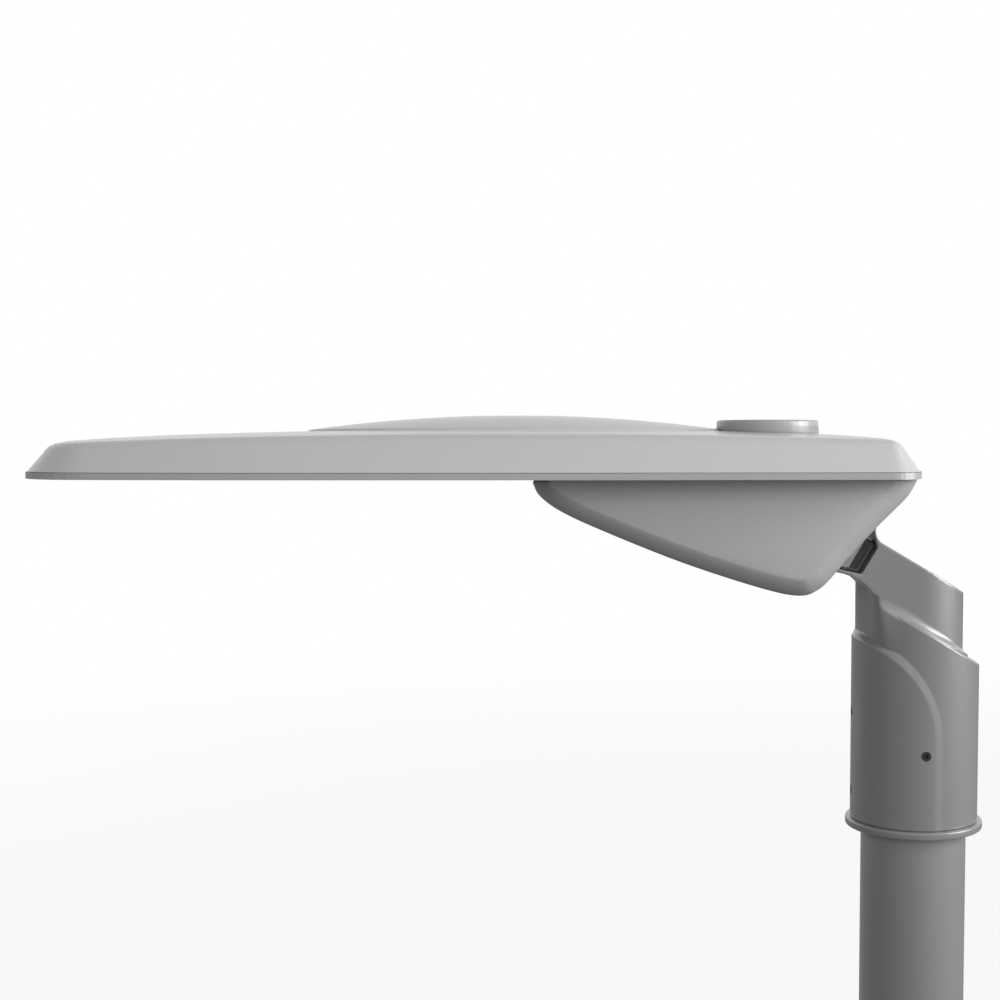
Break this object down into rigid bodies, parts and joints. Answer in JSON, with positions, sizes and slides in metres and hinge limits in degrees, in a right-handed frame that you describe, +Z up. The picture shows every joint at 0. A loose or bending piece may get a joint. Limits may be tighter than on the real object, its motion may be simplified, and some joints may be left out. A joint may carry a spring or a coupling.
{
  "type": "street light",
  "caption": "Slim lamp head on a tilting knuckle and sleeve adaptor over a round pole top, with gear cover and twist-lock control cap.",
  "frame": {"origin": "centre of the pole's lower end", "axes": "+Z up the pole, -X from the pole towards the nose of the lamp head, Y across the head"},
  "size_m": [0.6765, 0.25, 0.4997],
  "materials": {
    "pole_paint": "satin grey powder coat on steel tube",
    "casting_paint": "fine-grained grey powder coat on cast aluminium",
    "canopy_paint": "smooth light grey powder coat on cast aluminium",
    "cap_plastic": "weatherproof grey plastic",
    "stainless": "plain stainless steel",
    "seal": "black silicone",
    "clear_glass": "flat toughened glass",
    "clear_lens": "clear moulded lens plastic",
    "board": "white solder mask",
    "phosphor": "yellow phosphor",
    "bare_aluminium": "bare sheet",
    "black_plastic": "moulded",
    "white_plastic": "moulded",
    "blue_plastic": "moulded"
  },
  "bodies": {
    "pole": {"pole": "pole_paint"},
    "adaptor": {"adaptor": "casting_paint", "collar_ring": "casting_paint", "set_screws": "stainless", "tilt_bolts": "stainless", "tilt_nuts": "stainless", "tilt_washers": "stainless"},
    "head": {"tilt_bracket": "casting_paint", "bracket_screws": "stainless", "base_frame": "casting_paint", "canopy": "canopy_paint", "canopy_gasket": "seal", "canopy_screws": "stainless", "glass": "clear_glass", "glass_gasket": "seal", "glass_clips": "stainless", "glass_screws": "stainless", "lens_plate": "clear_lens", "led_board": "board", "leds": "phosphor", "heat_spreader": "bare_aluminium", "spreader_screws": "stainless", "socket_base": "black_plastic", "socket_gasket": "seal", "gear_tray": "bare_aluminium", "tray_screws": "stainless", "driver": "white_plastic", "terminal_block": "white_plastic", "surge_protector": "blue_plastic", "cable_clamp": "black_plastic", "cover_gasket": "seal", "hinge_pins": "stainless"},
    "gear_cover": {"gear_cover": "casting_paint", "cover_screws": "stainless"},
    "control_cap": {"control_cap": "cap_plastic"}
  },
  "joints": [
    {"name": "swivel", "type": "hinge", "parent": "pole", "child": "adaptor", "pos_m": [0, 0, 0.2055], "axis": [0, 0, 1], "range_deg": [-180, 180]},
    {"name": "tilt", "type": "hinge", "parent": "adaptor", "child": "head", "pos_m": [-0.057, 0, 0.407], "axis": [0, 1, 0], "range_deg": [-10, 10]},
    {"name": "cover_hinge", "type": "hinge", "parent": "head", "child": "gear_cover", "pos_m": [-0.2723, 0, 0.4528], "axis": [0, 1, 0], "range_deg": [0, 75]},
    {"name": "cap_twist", "type": "hinge", "parent": "head", "child": "control_cap", "pos_m": [-0.109, 0, 0.49], "axis": [0, 0, 1], "range_deg": [0, 30]}
  ]
}
